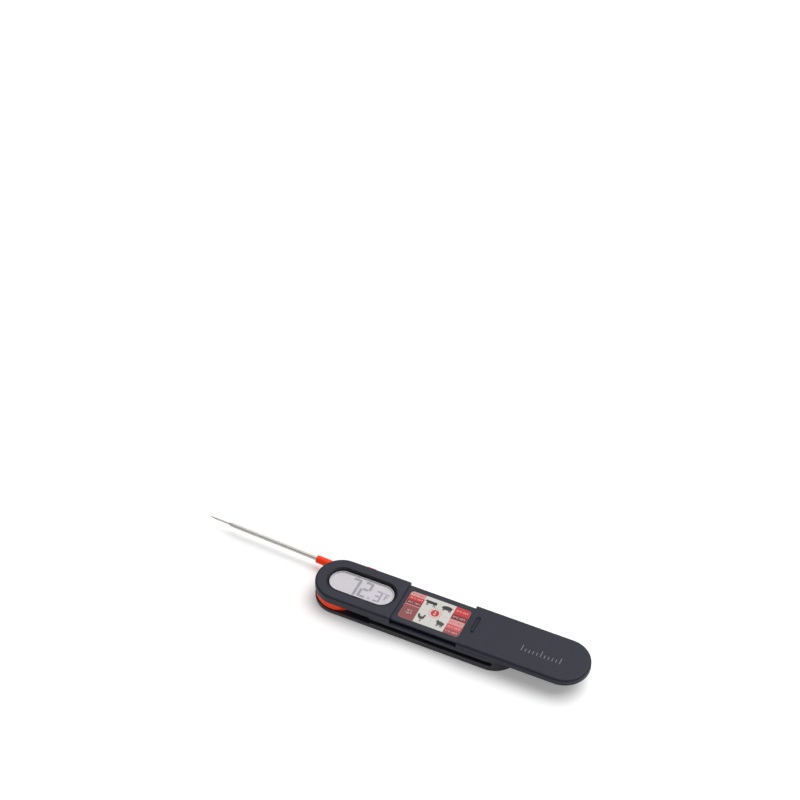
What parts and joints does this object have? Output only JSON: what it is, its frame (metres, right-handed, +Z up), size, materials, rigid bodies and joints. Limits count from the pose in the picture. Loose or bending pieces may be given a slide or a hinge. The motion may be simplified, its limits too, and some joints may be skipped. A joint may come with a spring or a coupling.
{
  "type": "folding meat thermometer",
  "caption": "Pocket cooking thermometer: needle probe folds out of a side slot on an orange hub; a sliding handle uncovers a printed meat guide beside the display.",
  "frame": {"origin": "on the probe's pivot axis, in the plane of the underside that the body rests on", "axes": "+X from the pivot along the body towards the sliding handle, +Y towards the side with the push button, +Z up through the display"},
  "size_m": [0.325, 0.043, 0.0184],
  "materials": {
    "charcoal_plastic": "satin moulded texture",
    "black_plastic": "satin moulded texture",
    "clear_lens": "clear hard-coated acrylic",
    "black_rubber": "matt silicone",
    "lcd_glass": "semi-gloss display glass",
    "lcd_reflector_film": "silvered film",
    "pink_rubber": "striped conductive silicone",
    "green_board": "solder mask",
    "chip_plastic": "moulded epoxy",
    "grey_lead": "fluoropolymer sleeve",
    "brass": "turned",
    "stainless_steel": "ground and polished",
    "printed_film": "printed film with a semi-matt varnish",
    "red_lead": "insulated lead",
    "black_lead": "insulated lead",
    "orange_plastic": "satin moulded texture",
    "bead_resin": "epoxy bead",
    "slide_plastic": "low-friction acetal"
  },
  "bodies": {
    "housing": {"upper_housing": "charcoal_plastic", "lower_housing": "black_plastic", "head_floor_plate": "black_plastic", "display_lens": "clear_lens", "lens_gasket": "black_rubber", "lcd_frame": "black_plastic", "lcd_panel": "lcd_glass", "lcd_reflector": "lcd_reflector_film", "zebra_connector": "pink_rubber", "circuit_board": "green_board", "microcontroller": "chip_plastic", "board_components": "chip_plastic", "tactile_switch": "chip_plastic", "board_leads": "grey_lead", "button_seal": "black_rubber", "pivot_bush": "brass", "friction_washer": "stainless_steel", "detent_ball": "stainless_steel", "detent_leaf": "stainless_steel", "handle_detent_spring": "stainless_steel", "guide_label": "printed_film", "battery_holder": "black_plastic", "battery_cell": "stainless_steel", "battery_contact_positive": "stainless_steel", "battery_contact_negative": "stainless_steel", "battery_wire_red": "red_lead", "battery_wire_black": "black_lead", "housing_screws": "stainless_steel", "plate_screws": "stainless_steel"},
    "probe": {"probe_hub": "orange_plastic", "hub_cover": "orange_plastic", "hub_seal": "black_rubber", "trunnion_clip": "stainless_steel", "probe_tube": "stainless_steel", "thermistor_bead": "bead_resin", "sensor_leads": "grey_lead"},
    "handle": {"handle_cover": "charcoal_plastic", "handle_runner_back": "slide_plastic", "handle_runner_front": "slide_plastic"},
    "power_button": {"power_button": "orange_plastic"},
    "battery_cover": {"battery_cover": "black_plastic", "battery_gasket": "black_rubber"}
  },
  "joints": [
    {"name": "probe_fold", "type": "hinge", "parent": "housing", "child": "probe", "pos_m": [0, 0, 0.0075], "axis": [0, 0, 1], "range_deg": [0, 182.4]},
    {"name": "handle_slide", "type": "slide", "parent": "housing", "child": "handle", "axis": [1, 0, 0], "range_m": [-0.0538, 0]},
    {"name": "button_press", "type": "slide", "parent": "housing", "child": "power_button", "axis": [0, -1, 0], "range_m": [0, 0.0007], "stiffness_N_per_m": 1500},
    {"name": "battery_cover_turn", "type": "hinge", "parent": "housing", "child": "battery_cover", "pos_m": [0.07, 0.0031, 0.001], "axis": [0, 0, 1], "range_deg": [-50, 0]}
  ]
}
